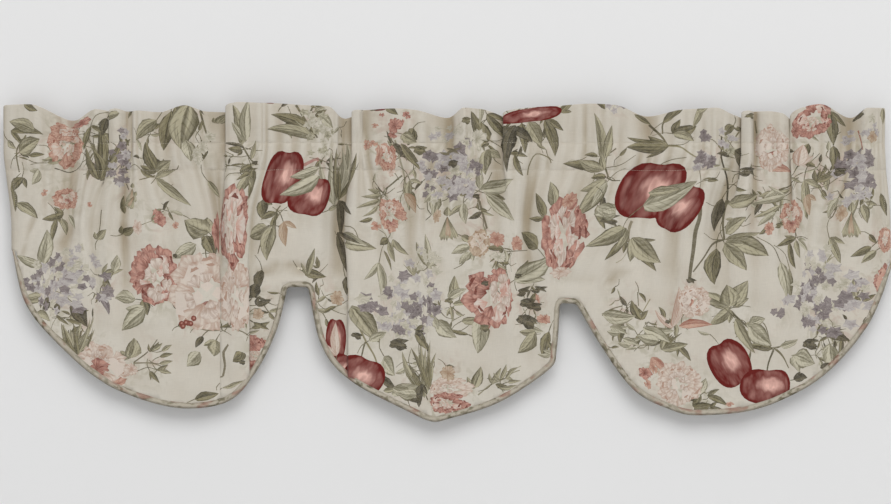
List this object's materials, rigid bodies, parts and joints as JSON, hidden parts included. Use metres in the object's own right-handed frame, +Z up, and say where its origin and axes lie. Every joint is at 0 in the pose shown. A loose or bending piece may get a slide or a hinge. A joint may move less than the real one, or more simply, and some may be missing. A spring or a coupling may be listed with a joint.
{
  "type": "window valance",
  "caption": "Scalloped cotton window valance with a ruffled heading, a rod casing under it and three rounded lobes with a bound edge, hanging in soft folds.",
  "frame": {"origin": "middle of the ruffle's top edge, on the plane where the two layers of the heading are stitched together", "axes": "+Z up, -Y towards the room (the printed face), +X to the right as seen from the room"},
  "size_m": [1.2771, 0.0331, 0.4587],
  "materials": {
    "printed_cotton": "matt plain-weave cotton, cream ground with a large floral and fruit print",
    "bias_binding": "the same printed cotton, cut on the bias and folded over the scalloped edge"
  },
  "bodies": {
    "root": {"valance_panel": "printed_cotton", "scallop_binding": "bias_binding"}
  },
  "joints": []
}
